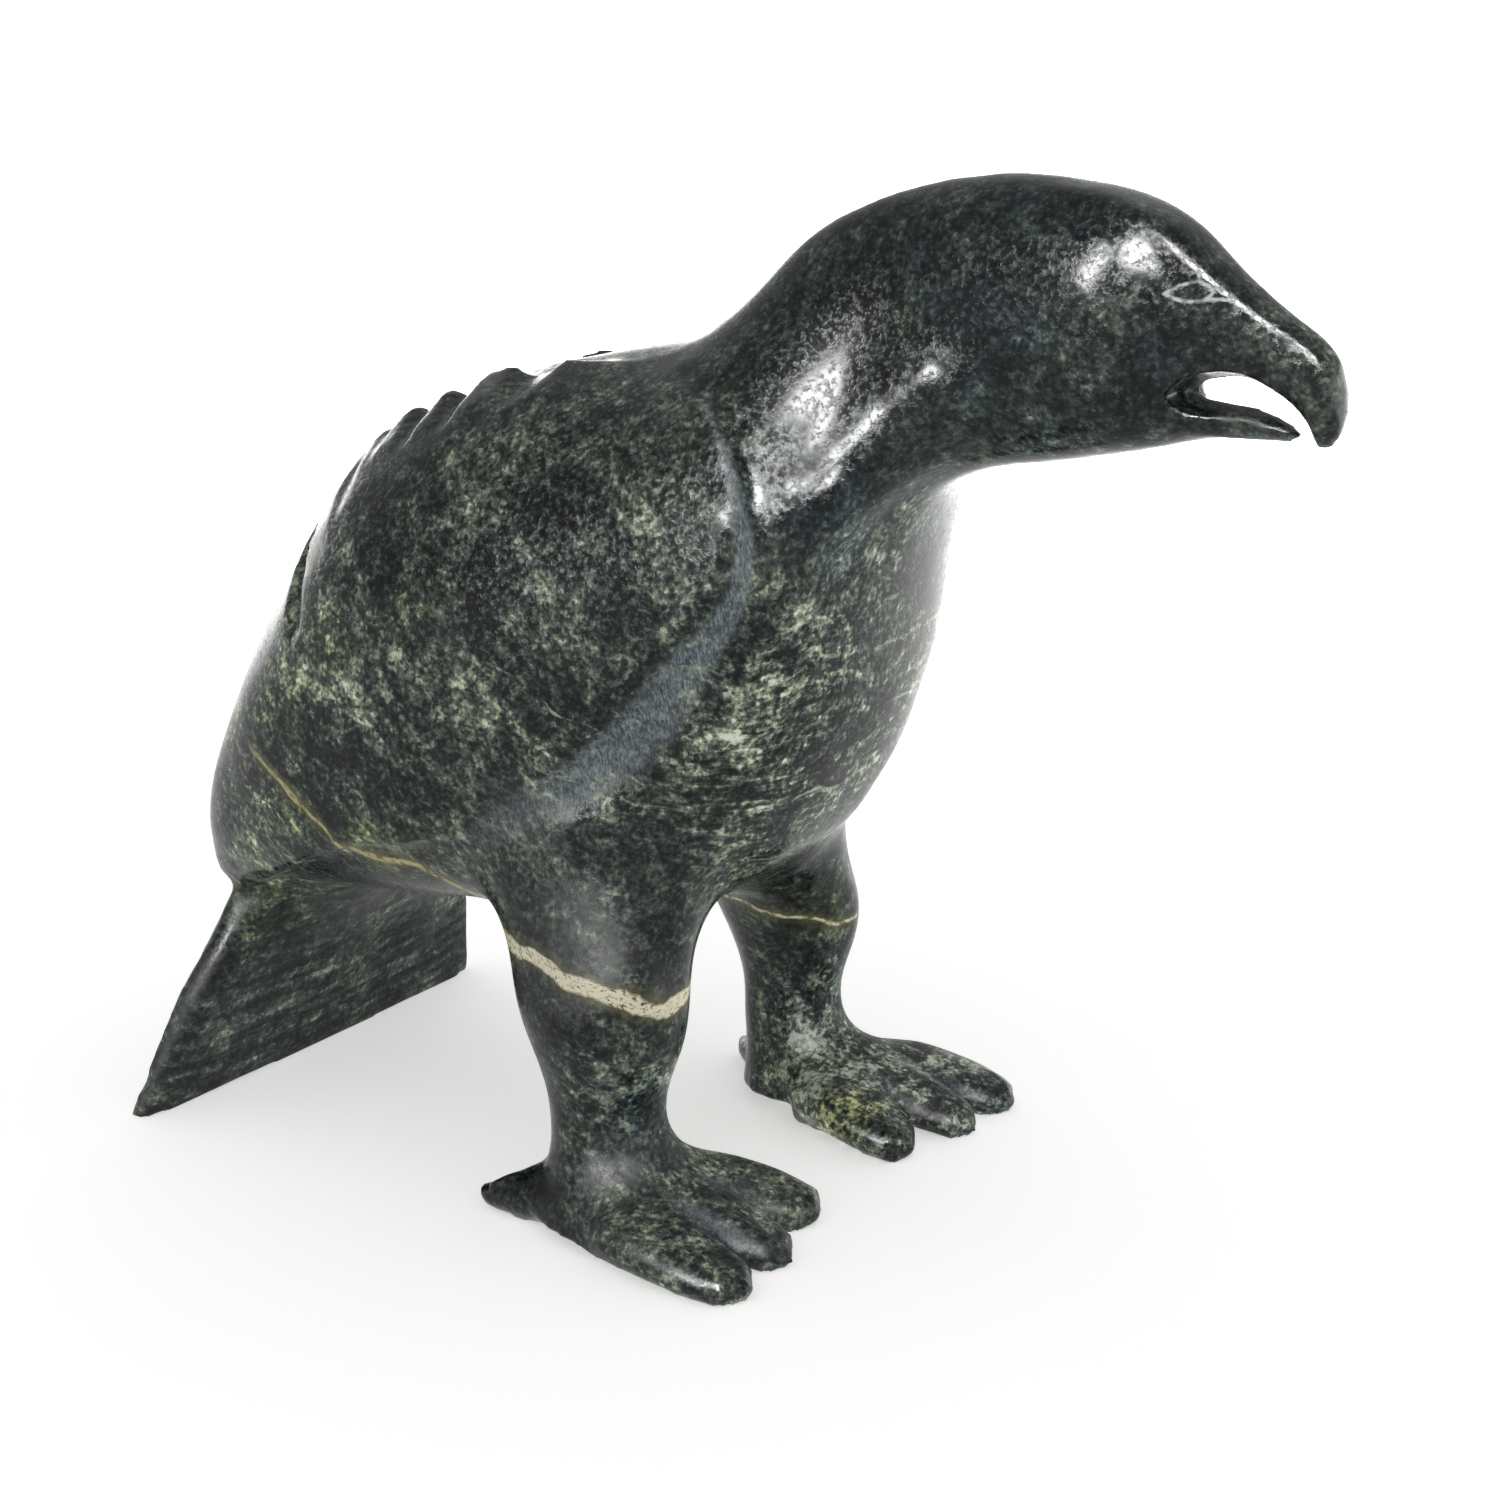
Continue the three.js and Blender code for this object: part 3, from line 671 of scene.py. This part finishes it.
# The light: a white room, and two soft boxes that draw the bright patches on head and neck.
# The boxes show in the polish only.
ROOM = (0.98, 0.99, 1.0, 1)
ROOM_STRENGTH = 0.62
SOFT_BOXES = {
    "narrow_box": {"azimuth": -92, "height": 30, "width": 0.28, "length": 0.95, "lean": -37, "watts": 66},
    "wide_box": {"azimuth": -47, "height": 40, "width": 0.42, "length": 0.52, "lean": -28, "watts": 54},
}
BOX_DISTANCE = 1.25
BOX_AIM = Vector((0.03, 0, 0.13))
room = bpy.data.worlds.new("white_room")
room.use_nodes = True
room.node_tree.nodes["Background"].inputs["Color"].default_value = ROOM
room.node_tree.nodes["Background"].inputs["Strength"].default_value = ROOM_STRENGTH
bpy.context.scene.world = room
for name, box in SOFT_BOXES.items():
    lamp = bpy.data.lights.new(name, "AREA")
    lamp.shape = "RECTANGLE"
    lamp.size = box["width"]
    lamp.size_y = box["length"]
    lamp.energy = box["watts"]
    turn, rise = math.radians(box["azimuth"]), math.radians(box["height"])
    toward = Vector((math.cos(rise) * math.cos(turn), math.cos(rise) * math.sin(turn), math.sin(rise)))
    soft_box = bpy.data.objects.new(name, lamp)
    soft_box.location = BOX_AIM + toward * BOX_DISTANCE
    facing = toward.to_track_quat("Z", "Y") @ Quaternion((0, 0, 1), math.radians(box["lean"]))
    soft_box.rotation_euler = facing.to_euler()
    soft_box.visible_diffuse = False
    soft_box.visible_camera = False
    bpy.context.collection.objects.link(soft_box)

# The camera: a little above the bird's back, in front of its right side and tipped down at it.
# Its place, turn and angle were fitted to the carving's outline.
CAMERA_PLACE = (0.26966, -0.4026, 0.2242)
CAMERA_TURN = math.radians(33.4665)
CAMERA_DIP = math.radians(16.0188)
CAMERA_ANGLE = math.radians(32)
CAMERA_NEAREST = 0.01
eye_lens = bpy.data.cameras.new("camera")
eye_lens.sensor_fit = "HORIZONTAL"
eye_lens.angle = CAMERA_ANGLE
eye_lens.clip_start = CAMERA_NEAREST
camera = bpy.data.objects.new("camera", eye_lens)
camera.location = CAMERA_PLACE
camera.rotation_euler = (math.pi / 2 - CAMERA_DIP, 0, CAMERA_TURN)
bpy.context.collection.objects.link(camera)
bpy.context.scene.camera = camera
bpy.context.scene.view_settings.view_transform = "Standard"
